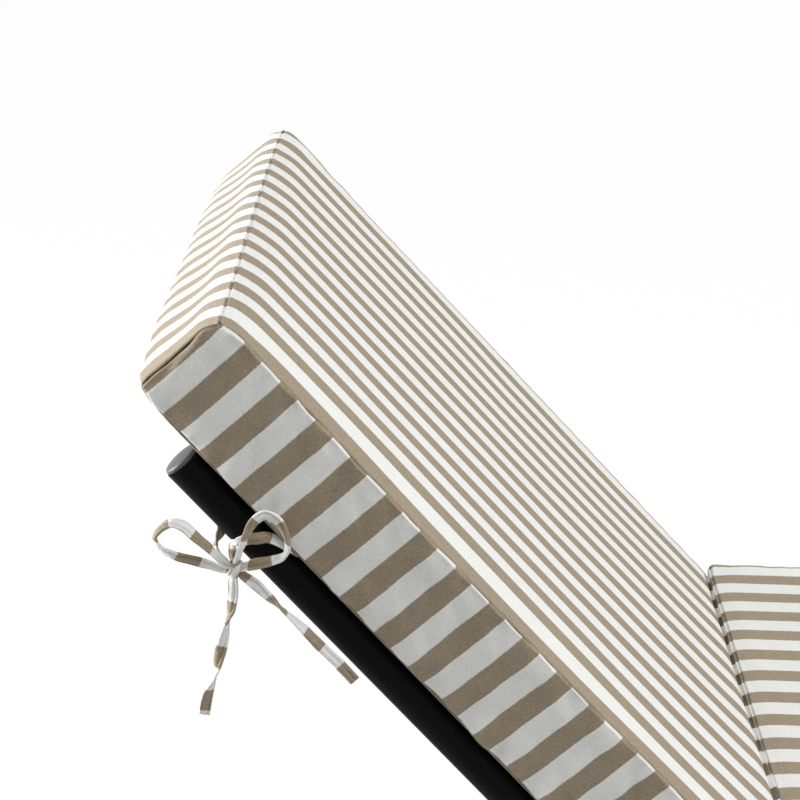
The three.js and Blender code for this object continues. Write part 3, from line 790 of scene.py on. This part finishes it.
# Section of the folded band: across and out of its face, as shares, and 1 in the bottom of a crease
BAND_SECTION = (
    (-1.0, 0.0, 0), (-0.92, 0.70, 0), (-0.62, 0.95, 0), (-0.46, 0.20, 1), (-0.30, 0.80, 0),
    (0.10, 1.0, 0), (0.55, 0.85, 0), (0.74, 0.30, 1), (0.88, 0.62, 0), (1.0, 0.10, 0),
    (0.90, -0.62, 0), (0.55, -0.90, 0), (0.28, -0.30, 1), (0.10, -0.85, 0), (-0.40, -1.0, 0),
    (-0.86, -0.70, 0),
)


def from_knot(x, y, z):
    return knot_near + Vector((x, y, z)) / 1000


def round_tube(along, angle):
    """A point of a turn round the near tube, and the direction out of the tube there."""
    a = math.radians(angle)
    outward = Vector((0, -math.cos(a), 0)) + OUT_OF_BACK * math.sin(a)
    return tube_axis(KNOT_UP + along / 1000, -SIDE_TUBE_Y) + outward * WRAP_RADIUS, outward


def strip_route(turns, join, loop, tail):
    """Points and face directions of one band: round the tube, through the knot, the loop, and the tail."""
    points, facing = [], []
    for along, angle in turns:
        point, outward = round_tube(along, angle)
        points.append(point)
        facing.append(outward)
    for place in join:
        points.append(from_knot(*place))
        facing.append((facing[-1] + TO_VIEWER).normalized())
    for route in (((0.6, 0.5, 1.5, 45),), loop, ((0.8, -0.8, -1.0, 30),), tail):
        for x, y, z, turned in route:
            points.append(from_knot(x, y, z))
            facing.append(turned)
    for n, hint in enumerate(facing):
        if isinstance(hint, Vector):
            continue
        before, after = points[max(0, n - 1)], points[min(len(points) - 1, n + 1)]
        tangent = (after - before).normalized()
        face = (TO_VIEWER - tangent * TO_VIEWER.dot(tangent)).normalized()
        facing[n] = Matrix.Rotation(math.radians(hint), 3, tangent) @ face
    return points, facing


def band(name, points, facing, mirror, seed, pinch=0.38, jump=None):
    """A narrow folded band along a route, creased and a little uneven, with blunt ends.
    Stripes skip half a period at the point numbered jump, which lies inside the knot."""
    path, length = smooth_curve(points, 0.0016)
    spots = [0.0]
    for a, b in zip(points, points[1:]):
        spots.append(spots[-1] + (b - a).length)
    scale = length / spots[-1]
    rows, centres, places = [], [], []
    step = length / (len(path) - 1)
    last = None
    for n, centre in enumerate(path):
        reach = n * step
        j = 0
        while j < len(spots) - 2 and spots[j + 1] * scale < reach:
            j += 1
        share = min(1.0, (reach / scale - spots[j]) / max(spots[j + 1] - spots[j], 1e-9))
        face = facing[j].lerp(facing[j + 1], share)
        tangent = (path[min(n + 1, len(path) - 1)] - path[max(n - 1, 0)]).normalized()
        face = face - tangent * face.dot(tangent)
        if face.length <= 0.15 and last is not None:
            face = last - tangent * last.dot(tangent)
        face = face.normalized()
        last = face
        breadth = tangent.cross(face)
        near_knot = math.exp(-(((centre - knot_near).length / 0.008) ** 2))
        wide = TIE_WIDTH / 2 * (1 - pinch * near_knot)
        wide = wide * (1 + 0.12 * noise.noise(Vector((reach * 55, seed, 0.3))))
        deep = TIE_THICKNESS / 2 * (1 + 0.45 * near_knot)
        deep = deep * (1 + 0.3 * noise.noise(Vector((reach * 80, seed, 3.3))))
        row = []
        for v, w, _ in BAND_SECTION:
            crease = 0.0005 * noise.noise(Vector((reach * 170, v * 1.6 + (3 if w > 0 else 0), seed)))
            point = centre + breadth * (v * wide) + face * (w * deep + crease)
            point.y *= mirror
            row.append(point)
        rows.append(row)
        middle = centre.copy()
        middle.y *= mirror
        centres.append(middle)
        places.append(reach)
    count = len(BAND_SECTION)
    skip = length + 1 if jump is None else spots[jump] * scale
    phases = [reach / STRIPE_PITCH + seed + (0.5 if reach > skip else 0.0) for reach in places]
    points = [p for row in rows for p in row]
    faces, uv_rows = [], []
    lengthwise = [0.0]
    for (av, aw, _), (bv, bw, _) in zip(BAND_SECTION, BAND_SECTION[1:] + BAND_SECTION[:1]):
        side_length = math.hypot((bv - av) * TIE_WIDTH / 2, (bw - aw) * TIE_THICKNESS / 2)
        lengthwise.append(lengthwise[-1] + side_length)
    for n in range(len(rows) - 1):
        for m in range(count):
            o = (m + 1) % count
            faces.append([n * count + m, n * count + o, (n + 1) * count + o, (n + 1) * count + m])
            low, high = phases[n], phases[n + 1]
            near_side, far_side = lengthwise[m], lengthwise[m + 1]
            uv_rows.append([(low, near_side), (low, far_side), (high, far_side), (high, near_side)])
    for n, turned in ((0, False), (len(rows) - 1, True)):
        ring = [n * count + m for m in range(count)]
        if not turned:
            ring.reverse()
        faces.append(ring)
        uv_rows.append([(phases[n], 0.0)] * count)
    if mirror > 0:
        faces = [face[::-1] for face in faces]
        uv_rows = [row[::-1] for row in uv_rows]
    seams = [0.0 if crease else 0.004 for _, _, crease in BAND_SECTION] * len(rows)
    piece = mesh_object(name, points, faces, tie_canvas, uv_rows, seams)
    return piece, centres, length


def knot_wrap(name, mirror):
    """The short turns of band that hold the bow together."""
    points, facing = [], []
    for n in range(12):
        a = math.radians(70 + 46 * n)
        outward = Vector((0.4 * math.sin(a), -math.cos(a), 0.85 * math.sin(a))).normalized()
        drift = Vector((0.0016, 0.0, 0.0005)) * (n - 5.5) / 5.5
        points.append(knot_near + outward * 0.0056 + drift)
        facing.append(outward)
    return band(name, points, facing, mirror, KNOT_START, pinch=0.08)[0]


for side, mirror in (("near", 1), ("far", -1)):
    knot = knot_wrap("tie_knot_" + side, mirror)
    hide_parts("tie_%s_knot" % side)
    front_points, front_facing = strip_route(FRONT_TURNS, FRONT_JOIN, LEFT_LOOP, RIGHT_TAIL)
    front, centres, length = band("tie_band_front_" + side, front_points, front_facing, mirror, FRONT_START)
    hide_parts("tie_%s_front_wrap" % side, "tie_%s_left_loop" % side, "tie_%s_right_tail" % side)
    back_points, back_facing = strip_route(BACK_TURNS, BACK_JOIN, RIGHT_LOOP, LEFT_TAIL)
    back, centres, length = band("tie_band_back_" + side, back_points, back_facing, mirror, BACK_START,
                                 jump=len(back_points) - len(LEFT_TAIL) - 1)
    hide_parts("tie_%s_back_wrap" % side, "tie_%s_right_loop" % side, "tie_%s_left_tail" % side)


# Frame

def smooth_copy(node, material, angle=35):
    """A joined and smoothed copy of a frame piece."""
    source = bpy.data.objects[node]
    mesh = source.data.copy()
    mesh.name = node + "_smooth"
    mesh.transform(source.matrix_world)
    mesh.materials.clear()
    mesh.materials.append(material)
    piece = bpy.data.objects.new(node + "_smooth", mesh)
    bpy.context.scene.collection.objects.link(piece)
    select_only(piece)
    bpy.ops.object.mode_set(mode="EDIT")
    bpy.ops.mesh.select_all(action="SELECT")
    bpy.ops.mesh.remove_doubles(threshold=0.00001)
    bpy.ops.mesh.normals_make_consistent(inside=False)
    bpy.ops.object.mode_set(mode="OBJECT")
    bpy.ops.object.shade_smooth_by_angle(angle=math.radians(angle))
    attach(piece, "root")
    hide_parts(node)
    return piece


for node in list(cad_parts):
    if node.startswith(("back_tube", "seat_rail", "back_cross", "seat_cross", "leg_", "brace_")):
        smooth_copy(node, black_paint)
    elif "end_cap" in node:
        smooth_copy(node, grey_plastic)
    elif node.startswith("hinge_joint"):
        smooth_copy(node, black_plastic)
    elif node.startswith("foot_"):
        smooth_copy(node, black_rubber)


# Stage and light

FLOOR_REACH = 30.0
FLOOR_HEIGHT = -0.001
WORLD_STRENGTH = 0.46


def pale_floor():
    """A pale floor that glows for the camera alone and reflects as matt grey."""
    material, tree = new_material("pale_floor")
    output = add_node(tree, "ShaderNodeOutputMaterial")
    matt = add_node(tree, "ShaderNodeBsdfDiffuse", inputs={"Color": (0.50, 0.50, 0.50, 1)})
    glow = add_node(tree, "ShaderNodeEmission", inputs={"Color": (1, 1, 1, 1), "Strength": 1.02})
    ray = add_node(tree, "ShaderNodeLightPath").outputs["Is Camera Ray"]
    share = math_node(tree, "MULTIPLY", ray, 0.95)
    mix = add_node(tree, "ShaderNodeMixShader")
    tree.links.new(share, mix.inputs[0])
    tree.links.new(matt.outputs[0], mix.inputs[1])
    tree.links.new(glow.outputs[0], mix.inputs[2])
    tree.links.new(mix.outputs[0], output.inputs["Surface"])
    mesh = bpy.data.meshes.new("floor")
    corners = ((-1, -1), (1, -1), (1, 1), (-1, 1))
    points = [(x * FLOOR_REACH, y * FLOOR_REACH, FLOOR_HEIGHT) for x, y in corners]
    mesh.from_pydata(points, [], [(0, 1, 2, 3)])
    mesh.materials.append(material)
    floor = bpy.data.objects.new("floor", mesh)
    bpy.context.scene.collection.objects.link(floor)


def soft_light(name, direction, distance, size, power, aim):
    data = bpy.data.lights.new(name, "AREA")
    data.shape = "SQUARE"
    data.size = size
    data.energy = power
    lamp = bpy.data.objects.new(name, data)
    bpy.context.scene.collection.objects.link(lamp)
    way = Vector(direction).normalized()
    lamp.location = aim + way * distance
    lamp.rotation_mode = "QUATERNION"
    lamp.rotation_quaternion = way.to_track_quat("Z", "Y")


pale_floor()
middle = FOLD + Vector((-0.1, 0, 0.1))
soft_light("upper_light", (0.62, -0.15, 0.77), 4.0, 2.2, 142, middle)
soft_light("head_light", (-0.98, 0.05, 0.17), 4.0, 1.6, 268, middle)
world = bpy.data.worlds.new("studio")
world.use_nodes = True
world.node_tree.nodes["Background"].inputs["Color"].default_value = (1.0, 1.0, 1.0, 1)
world.node_tree.nodes["Background"].inputs["Strength"].default_value = WORLD_STRENGTH
bpy.context.scene.world = world
bpy.context.scene.view_settings.view_transform = "Standard"
